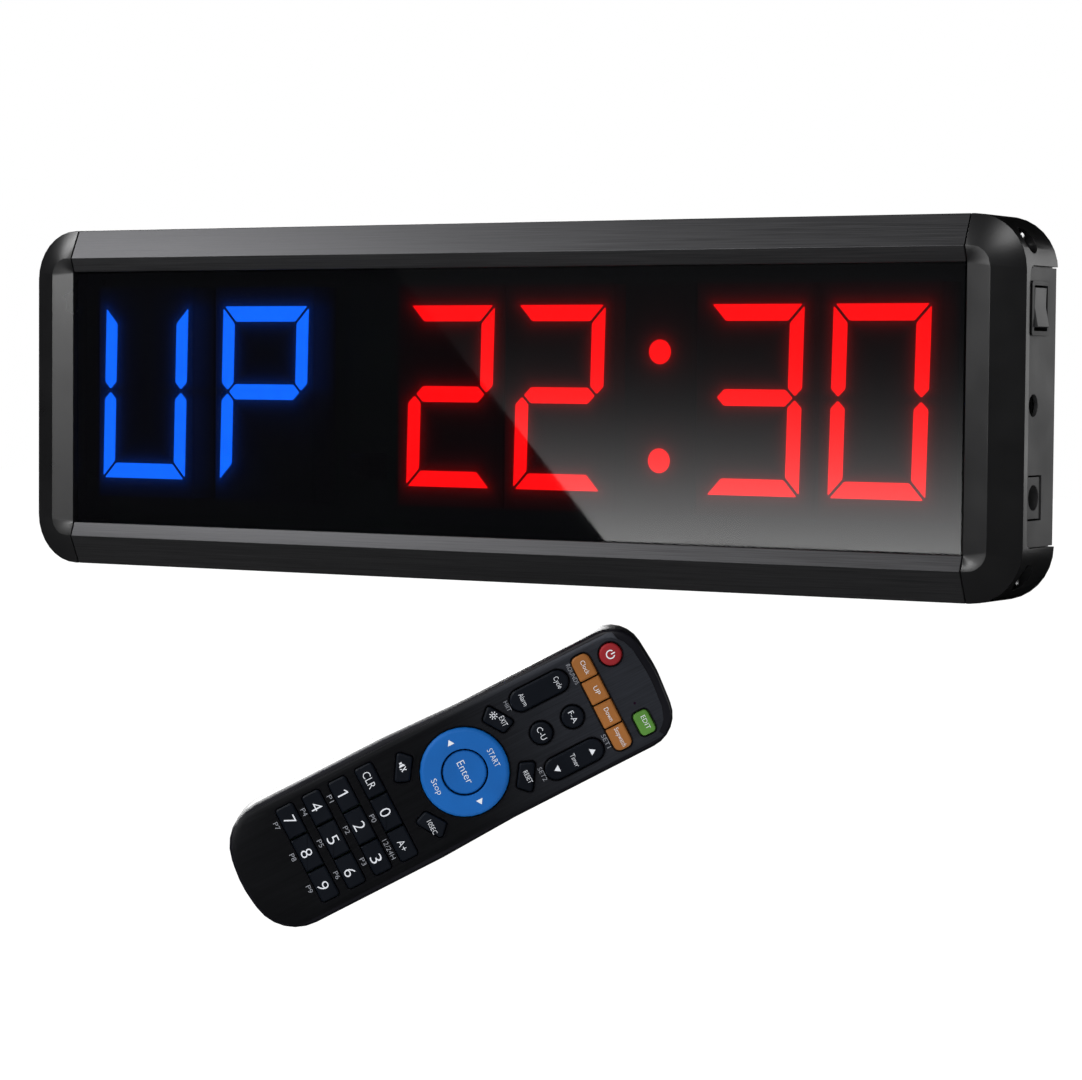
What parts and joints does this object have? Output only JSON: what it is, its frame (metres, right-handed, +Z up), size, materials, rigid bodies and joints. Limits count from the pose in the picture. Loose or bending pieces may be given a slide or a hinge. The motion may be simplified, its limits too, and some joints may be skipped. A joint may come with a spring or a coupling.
{
  "type": "gym round timer",
  "caption": "Wall-hung round timer: a wide aluminium display housing with seven-segment digits behind a tinted lens, side ports, and a keypad hand remote.",
  "frame": {"origin": "centre of the housing's back face, which lies on the wall", "axes": "+Y into the wall, out of the housing's back; +X to a viewer's right along the housing; +Z up; the screen faces -Y"},
  "size_m": [0.2911, 0.0763, 0.1731],
  "materials": {
    "housing_aluminium": "black anodised, fine brushed",
    "cap_plastic": "moulded black, satin",
    "screw_steel": "zinc plated",
    "lens_acrylic": "dark tinted, polished",
    "blue_display": "blue LED segments in a dark face",
    "red_display": "red LED segments in a dark face",
    "dark_moulding": "moulded black",
    "rocker_plastic": "moulded black, polished",
    "port_plastic": "dark grey, fine texture",
    "board": "green solder mask",
    "hanger_steel": "zinc plated",
    "remote_plastic": "moulded black, fine texture",
    "led_lens": "dark infrared lens",
    "cell_wrap": "printed foil",
    "key_dark": "silicone, satin",
    "key_red": "silicone, satin",
    "key_orange": "silicone, satin",
    "key_green": "silicone, satin",
    "key_blue": "silicone, satin"
  },
  "bodies": {
    "timer": {"housing_extrusion": "housing_aluminium", "left_end_cap": "cap_plastic", "right_end_cap": "cap_plastic", "cap_screw_left_low": "screw_steel", "cap_screw_left_high": "screw_steel", "cap_screw_right_low": "screw_steel", "cap_screw_right_high": "screw_steel", "display_lens": "lens_acrylic", "digit_1": "blue_display", "digit_2": "blue_display", "digit_3": "red_display", "digit_4": "red_display", "digit_5": "red_display", "digit_6": "red_display", "colon_module": "red_display", "infrared_receiver": "dark_moulding", "main_board": "board", "port_plate": "port_plastic", "power_switch_body": "dark_moulding", "power_jack": "dark_moulding", "buzzer": "dark_moulding"},
    "power_rocker": {"power_rocker": "rocker_plastic"},
    "left_hanger": {"left_hanger": "hanger_steel"},
    "right_hanger": {"right_hanger": "hanger_steel"},
    "remote": {"remote_top_shell": "remote_plastic", "remote_bottom_shell": "remote_plastic", "remote_board": "board", "remote_cell_left": "cell_wrap", "remote_cell_right": "cell_wrap", "remote_infrared_led": "led_lens"},
    "remote_battery_cover": {"remote_battery_cover": "remote_plastic"},
    "ring_web": {"ring_web": "key_dark"},
    "key_ring": {"key_ring": "key_blue"},
    "key_power": {"key_power": "key_red"},
    "key_edit": {"key_edit": "key_green"},
    "key_clock": {"key_clock": "key_orange"},
    "key_count_up": {"key_count_up": "key_orange"},
    "key_count_down": {"key_count_down": "key_orange"},
    "key_stopwatch": {"key_stopwatch": "key_orange"},
    "key_f_a": {"key_f_a": "key_dark"},
    "key_c_u": {"key_c_u": "key_dark"},
    "key_reset": {"key_reset": "key_dark"},
    "key_brightness": {"key_brightness": "key_dark"},
    "key_mute": {"key_mute": "key_dark"},
    "key_ten_seconds": {"key_ten_seconds": "key_dark"},
    "key_enter": {"key_enter": "key_blue"},
    "key_clear": {"key_clear": "key_dark"},
    "key_0": {"key_0": "key_dark"},
    "key_a_plus": {"key_a_plus": "key_dark"},
    "key_1": {"key_1": "key_dark"},
    "key_2": {"key_2": "key_dark"},
    "key_3": {"key_3": "key_dark"},
    "key_4": {"key_4": "key_dark"},
    "key_5": {"key_5": "key_dark"},
    "key_6": {"key_6": "key_dark"},
    "key_7": {"key_7": "key_dark"},
    "key_8": {"key_8": "key_dark"},
    "key_9": {"key_9": "key_dark"},
    "key_cycle_alarm": {"key_cycle_alarm": "key_dark"},
    "key_timer_set": {"key_timer_set": "key_dark"}
  },
  "joints": [
    {"name": "rocker_tilt", "type": "hinge", "parent": "timer", "child": "power_rocker", "pos_m": [0.1428, -0.01085, 0.02325], "axis": [0, 1, 0], "range_deg": [0, 10]},
    {"name": "left_hanger_slide", "type": "slide", "parent": "timer", "child": "left_hanger", "axis": [1, 0, 0], "range_m": [-0.03, 0.03]},
    {"name": "right_hanger_slide", "type": "slide", "parent": "timer", "child": "right_hanger", "axis": [1, 0, 0], "range_m": [-0.03, 0.03]},
    {"name": "remote_lift", "type": "slide", "parent": "timer", "child": "remote", "axis": [0.518, -0.8554, 0], "range_m": [0, 0.15]},
    {"name": "battery_cover_slide", "type": "slide", "parent": "remote", "child": "remote_battery_cover", "axis": [-0.7575, -0.4588, -0.4644], "range_m": [0, 0.055]},
    {"name": "ring_up_down_tilt", "type": "hinge", "parent": "remote", "child": "ring_web", "pos_m": [0.0111, -0.04517, -0.08942], "axis": [0.3972, 0.2406, -0.8856], "range_deg": [-2.5, 2.5], "stiffness_Nm_per_rad": 0.1},
    {"name": "ring_left_right_tilt", "type": "hinge", "parent": "ring_web", "child": "key_ring", "pos_m": [0.0111, -0.04517, -0.08942], "axis": [0.7575, 0.4588, 0.4644], "range_deg": [-2.5, 2.5], "stiffness_Nm_per_rad": 0.1},
    {"name": "cycle_alarm_rock", "type": "hinge", "parent": "remote", "child": "key_cycle_alarm", "pos_m": [0.0265, -0.03602, -0.06947], "axis": [0.3972, 0.2406, -0.8856], "range_deg": [-3, 3], "stiffness_Nm_per_rad": 0.1},
    {"name": "timer_set_rock", "type": "hinge", "parent": "remote", "child": "key_timer_set", "pos_m": [0.03392, -0.03152, -0.08603], "axis": [0.3972, 0.2406, -0.8856], "range_deg": [-3, 3], "stiffness_Nm_per_rad": 0.1},
    {"name": "power_press", "type": "slide", "parent": "remote", "child": "key_power", "axis": [-0.518, 0.8554, 0], "range_m": [0, 0.0007], "stiffness_N_per_m": 600, "springref_m": -0.0003},
    {"name": "edit_press", "type": "slide", "parent": "remote", "child": "key_edit", "axis": [-0.518, 0.8554, 0], "range_m": [0, 0.0007], "stiffness_N_per_m": 600, "springref_m": -0.0003},
    {"name": "clock_press", "type": "slide", "parent": "remote", "child": "key_clock", "axis": [-0.518, 0.8554, 0], "range_m": [0, 0.0007], "stiffness_N_per_m": 600, "springref_m": -0.0003},
    {"name": "count_up_press", "type": "slide", "parent": "remote", "child": "key_count_up", "axis": [-0.518, 0.8554, 0], "range_m": [0, 0.0007], "stiffness_N_per_m": 600, "springref_m": -0.0003},
    {"name": "count_down_press", "type": "slide", "parent": "remote", "child": "key_count_down", "axis": [-0.518, 0.8554, 0], "range_m": [0, 0.0007], "stiffness_N_per_m": 600, "springref_m": -0.0003},
    {"name": "stopwatch_press", "type": "slide", "parent": "remote", "child": "key_stopwatch", "axis": [-0.518, 0.8554, 0], "range_m": [0, 0.0007], "stiffness_N_per_m": 600, "springref_m": -0.0003},
    {"name": "f_a_press", "type": "slide", "parent": "remote", "child": "key_f_a", "axis": [-0.518, 0.8554, 0], "range_m": [0, 0.0007], "stiffness_N_per_m": 600, "springref_m": -0.0003},
    {"name": "c_u_press", "type": "slide", "parent": "remote", "child": "key_c_u", "axis": [-0.518, 0.8554, 0], "range_m": [0, 0.0007], "stiffness_N_per_m": 600, "springref_m": -0.0003},
    {"name": "reset_press", "type": "slide", "parent": "remote", "child": "key_reset", "axis": [-0.518, 0.8554, 0], "range_m": [0, 0.0007], "stiffness_N_per_m": 600, "springref_m": -0.0003},
    {"name": "brightness_press", "type": "slide", "parent": "remote", "child": "key_brightness", "axis": [-0.518, 0.8554, 0], "range_m": [0, 0.0007], "stiffness_N_per_m": 600, "springref_m": -0.0003},
    {"name": "mute_press", "type": "slide", "parent": "remote", "child": "key_mute", "axis": [-0.518, 0.8554, 0], "range_m": [0, 0.0007], "stiffness_N_per_m": 600, "springref_m": -0.0003},
    {"name": "ten_seconds_press", "type": "slide", "parent": "remote", "child": "key_ten_seconds", "axis": [-0.518, 0.8554, 0], "range_m": [0, 0.0007], "stiffness_N_per_m": 600, "springref_m": -0.0003},
    {"name": "enter_press", "type": "slide", "parent": "remote", "child": "key_enter", "axis": [-0.518, 0.8554, 0], "range_m": [0, 0.0007], "stiffness_N_per_m": 600, "springref_m": -0.0003},
    {"name": "clear_press", "type": "slide", "parent": "remote", "child": "key_clear", "axis": [-0.518, 0.8554, 0], "range_m": [0, 0.0007], "stiffness_N_per_m": 600, "springref_m": -0.0003},
    {"name": "0_press", "type": "slide", "parent": "remote", "child": "key_0", "axis": [-0.518, 0.8554, 0], "range_m": [0, 0.0007], "stiffness_N_per_m": 600, "springref_m": -0.0003},
    {"name": "a_plus_press", "type": "slide", "parent": "remote", "child": "key_a_plus", "axis": [-0.518, 0.8554, 0], "range_m": [0, 0.0007], "stiffness_N_per_m": 600, "springref_m": -0.0003},
    {"name": "1_press", "type": "slide", "parent": "remote", "child": "key_1", "axis": [-0.518, 0.8554, 0], "range_m": [0, 0.0007], "stiffness_N_per_m": 600, "springref_m": -0.0003},
    {"name": "2_press", "type": "slide", "parent": "remote", "child": "key_2", "axis": [-0.518, 0.8554, 0], "range_m": [0, 0.0007], "stiffness_N_per_m": 600, "springref_m": -0.0003},
    {"name": "3_press", "type": "slide", "parent": "remote", "child": "key_3", "axis": [-0.518, 0.8554, 0], "range_m": [0, 0.0007], "stiffness_N_per_m": 600, "springref_m": -0.0003},
    {"name": "4_press", "type": "slide", "parent": "remote", "child": "key_4", "axis": [-0.518, 0.8554, 0], "range_m": [0, 0.0007], "stiffness_N_per_m": 600, "springref_m": -0.0003},
    {"name": "5_press", "type": "slide", "parent": "remote", "child": "key_5", "axis": [-0.518, 0.8554, 0], "range_m": [0, 0.0007], "stiffness_N_per_m": 600, "springref_m": -0.0003},
    {"name": "6_press", "type": "slide", "parent": "remote", "child": "key_6", "axis": [-0.518, 0.8554, 0], "range_m": [0, 0.0007], "stiffness_N_per_m": 600, "springref_m": -0.0003},
    {"name": "7_press", "type": "slide", "parent": "remote", "child": "key_7", "axis": [-0.518, 0.8554, 0], "range_m": [0, 0.0007], "stiffness_N_per_m": 600, "springref_m": -0.0003},
    {"name": "8_press", "type": "slide", "parent": "remote", "child": "key_8", "axis": [-0.518, 0.8554, 0], "range_m": [0, 0.0007], "stiffness_N_per_m": 600, "springref_m": -0.0003},
    {"name": "9_press", "type": "slide", "parent": "remote", "child": "key_9", "axis": [-0.518, 0.8554, 0], "range_m": [0, 0.0007], "stiffness_N_per_m": 600, "springref_m": -0.0003}
  ]
}
